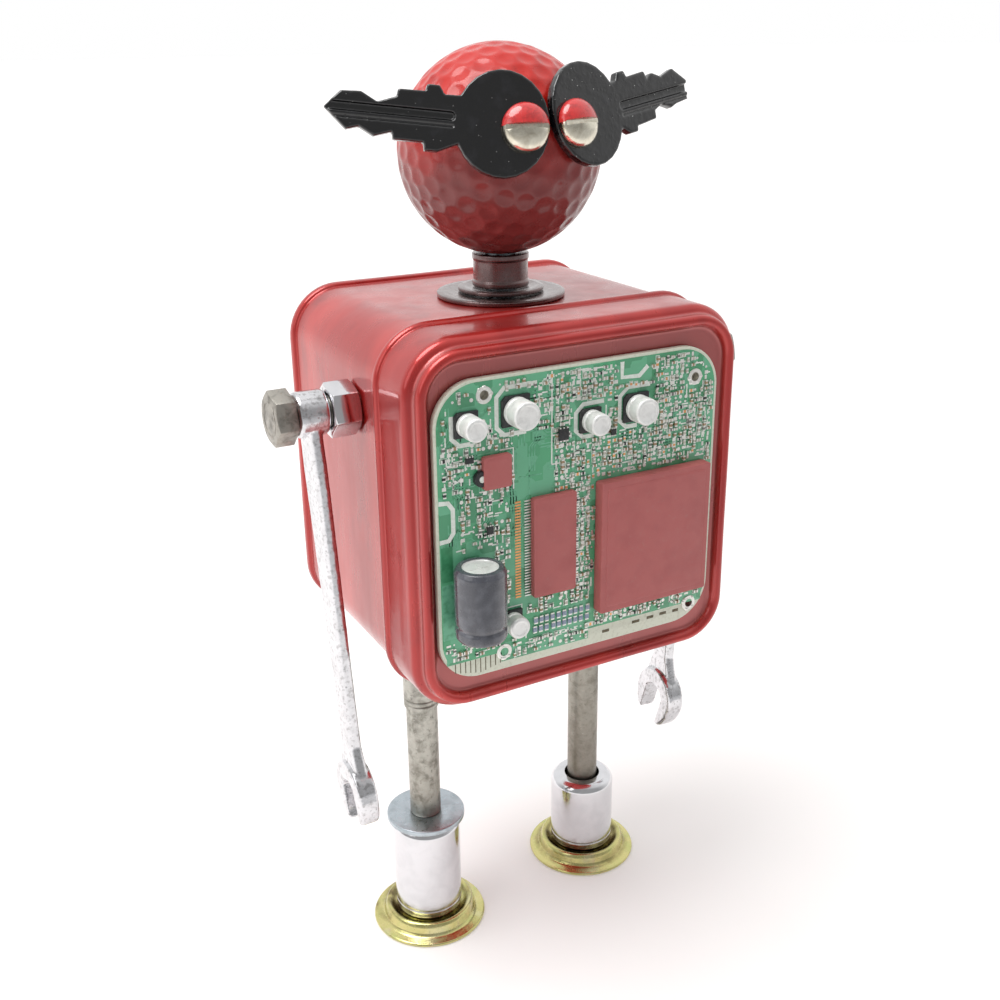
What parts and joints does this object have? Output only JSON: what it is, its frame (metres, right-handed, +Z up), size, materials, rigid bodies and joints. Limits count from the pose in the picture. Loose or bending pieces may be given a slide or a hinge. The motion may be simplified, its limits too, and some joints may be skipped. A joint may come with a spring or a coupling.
{
  "type": "robot figure",
  "caption": "Standing robot figure of found hardware: round head with key eyebrows, square lidded tin body with a circuit board chest, swinging spanner arms, socket feet.",
  "frame": {"origin": "on the surface the figure stands on, under the middle of its bounding box", "axes": "+Z up, the figure faces -Y, +X towards a viewer's right; left and right in the names are the viewer's"},
  "size_m": [0.1122, 0.0754, 0.2055],
  "materials": {
    "red_lacquer": "glossy translucent red lacquer on tinplate",
    "red_enamel": "glossy red enamel over a dimpled ball",
    "black_enamel": "glossy black paint on brass keys",
    "nickel": "bright nickel plate",
    "gunmetal": "dark blued steel, satin",
    "chrome": "polished chrome with light wear",
    "zinc": "blue-white zinc plate",
    "dull_steel": "mottled bare steel",
    "yellow_zinc": "yellow-passivated zinc plate",
    "board_green": "green solder mask over glass-fibre laminate",
    "tape": "thin double-sided tape",
    "chip_maroon": "maroon paint over moulded chip packages",
    "black_plastic": "black moulded or heat-shrunk plastic",
    "can_aluminium": "drawn aluminium cans"
  },
  "bodies": {
    "torso": {"tin_body": "red_lacquer", "tin_back": "red_lacquer", "neck_washer_large": "gunmetal", "neck_washer_small": "gunmetal", "neck_spacer": "gunmetal", "neck_inner_washer": "zinc", "neck_bolt": "zinc", "shoulder_bolt_left": "dull_steel", "shoulder_nut_left": "chrome", "shoulder_inner_washer_left": "zinc", "shoulder_inner_nut_left": "zinc", "shoulder_bolt_right": "dull_steel", "shoulder_nut_right": "chrome", "shoulder_inner_washer_right": "zinc", "shoulder_inner_nut_right": "zinc", "leg_bolt_left": "zinc", "leg_tube_left": "dull_steel", "leg_sleeve_left": "dull_steel", "leg_inner_washer_left": "zinc", "leg_nut_left": "zinc", "leg_bolt_right": "zinc", "leg_tube_right": "dull_steel", "leg_inner_washer_right": "zinc", "leg_nut_right": "zinc", "foot_washer_left": "zinc", "foot_socket_left": "chrome", "foot_cup_left": "yellow_zinc", "foot_socket_right": "chrome", "foot_cup_right": "yellow_zinc"},
    "head": {"head_ball": "red_enamel", "key_left": "black_enamel", "key_right": "black_enamel", "eye_screw_left": "nickel", "eye_screw_right": "nickel"},
    "lid": {"tin_lid": "red_lacquer", "board_tape": "tape", "circuit_board": "board_green", "chip_large": "chip_maroon", "chip_medium": "chip_maroon", "chip_small": "chip_maroon", "capacitor_base_1": "black_plastic", "capacitor_base_2": "black_plastic", "capacitor_base_3": "black_plastic", "capacitor_base_4": "black_plastic", "capacitor_base_5": "black_plastic", "capacitor_can_1": "can_aluminium", "capacitor_can_2": "can_aluminium", "capacitor_can_3": "can_aluminium", "capacitor_can_4": "can_aluminium", "capacitor_can_5": "can_aluminium", "bulk_capacitor_can": "can_aluminium", "bulk_capacitor_sleeve": "black_plastic"},
    "arm_left": {"wrench_left": "chrome"},
    "arm_right": {"wrench_right": "chrome"}
  },
  "joints": [
    {"name": "head_turn", "type": "hinge", "parent": "torso", "child": "head", "pos_m": [0, 0.00835, 0.1842], "axis": [0, 0, 1], "range_deg": [-90, 90]},
    {"name": "arm_left_swing", "type": "hinge", "parent": "torso", "child": "arm_left", "pos_m": [-0.0479, 0.00155, 0.1361], "axis": [1, 0, 0], "continuous": true},
    {"name": "arm_right_swing", "type": "hinge", "parent": "torso", "child": "arm_right", "pos_m": [0.0479, 0.00155, 0.1361], "axis": [1, 0, 0], "continuous": true},
    {"name": "lid_slide", "type": "slide", "parent": "torso", "child": "lid", "axis": [0, -1, 0], "range_m": [0, 0.025]}
  ]
}
